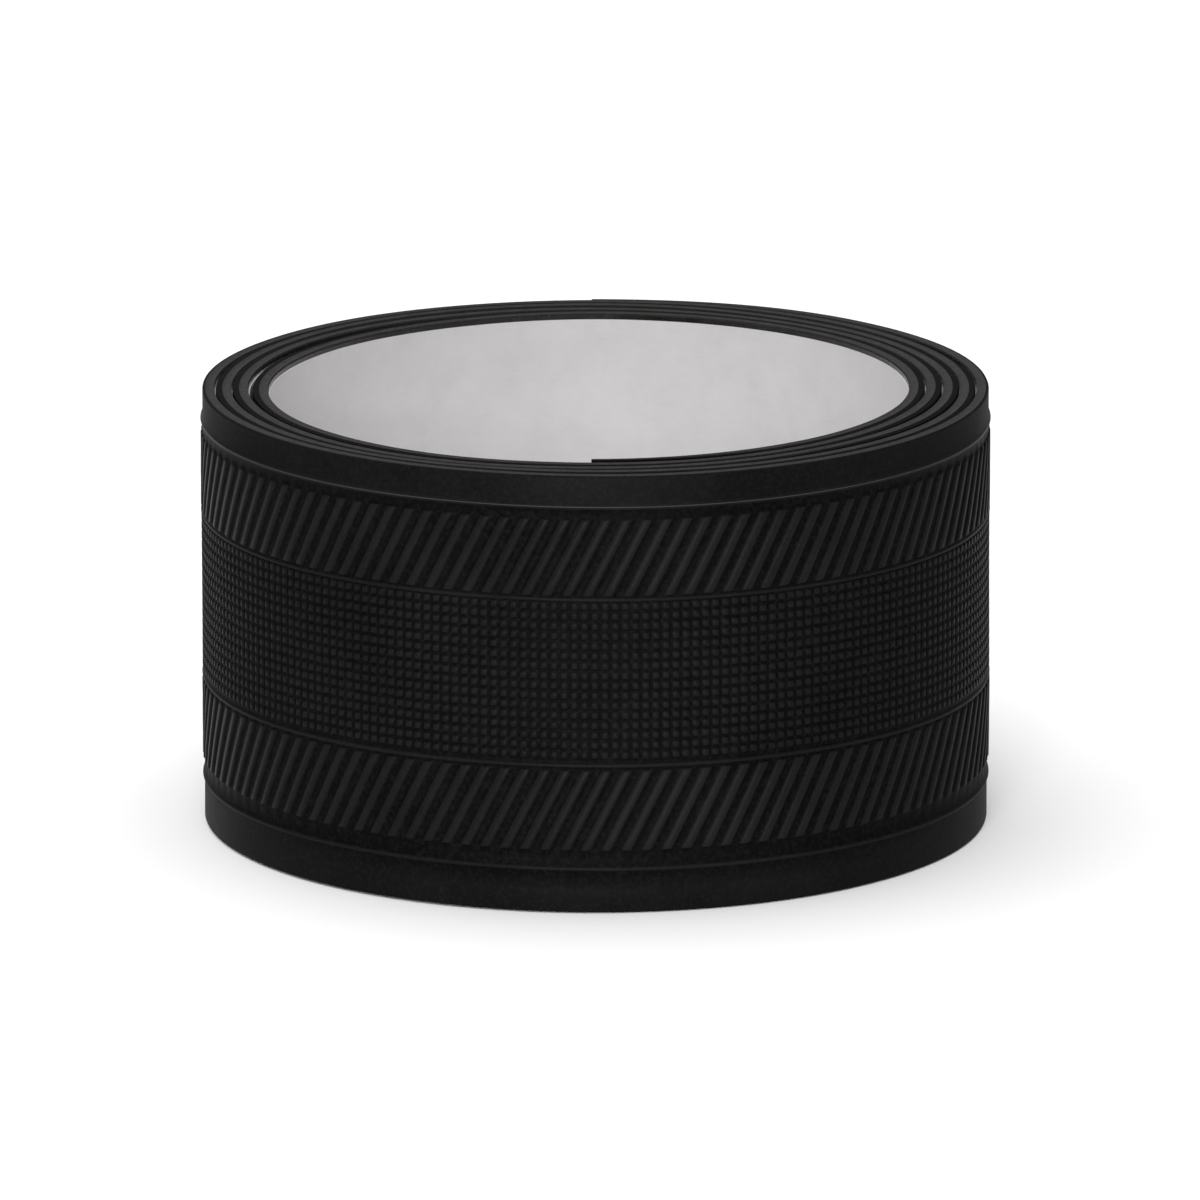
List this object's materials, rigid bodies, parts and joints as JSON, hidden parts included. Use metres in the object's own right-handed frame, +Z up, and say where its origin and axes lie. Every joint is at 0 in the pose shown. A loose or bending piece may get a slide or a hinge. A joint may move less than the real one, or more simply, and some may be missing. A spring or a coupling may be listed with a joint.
{
  "type": "grip tape roll",
  "caption": "Short roll of wide embossed grip tape wound grip side out on a white release liner, with an open bore, a tail that lifts and a liner end that peels.",
  "frame": {"origin": "middle of the roll's footprint, on the flat end that it stands on", "axes": "+Z up the roll's axis, across the tape's width; -Y towards the liner's inner end and the viewer; +Y towards the tape's cut outer end"},
  "size_m": [0.0646, 0.0654, 0.036],
  "materials": {
    "grip_skin": "matte",
    "cushion": "matte",
    "adhesive": "satin",
    "liner": "satin",
    "closing_tab": "satin",
    "finishing_strip": "satin",
    "strip_liner": "satin"
  },
  "bodies": {
    "roll": {"grip_skin": "grip_skin", "cushion_backing": "cushion", "adhesive_film": "adhesive", "release_liner": "liner", "finishing_strip": "finishing_strip", "finishing_strip_liner": "strip_liner"},
    "tail": {"grip_skin_tail": "grip_skin", "cushion_backing_tail": "cushion", "adhesive_film_tail": "adhesive", "release_liner_tail": "liner", "closing_tab": "closing_tab"},
    "liner_end": {"release_liner_flap": "liner"}
  },
  "joints": [
    {"name": "tail_lift", "type": "hinge", "parent": "roll", "child": "tail", "pos_m": [0.0308, 0.00972, 0], "axis": [0, 0, -1], "range_deg": [0, 75]},
    {"name": "liner_peel", "type": "hinge", "parent": "roll", "child": "liner_end", "pos_m": [0.01784, -0.01858, 0], "axis": [0, 0, -1], "range_deg": [0, 60]}
  ]
}
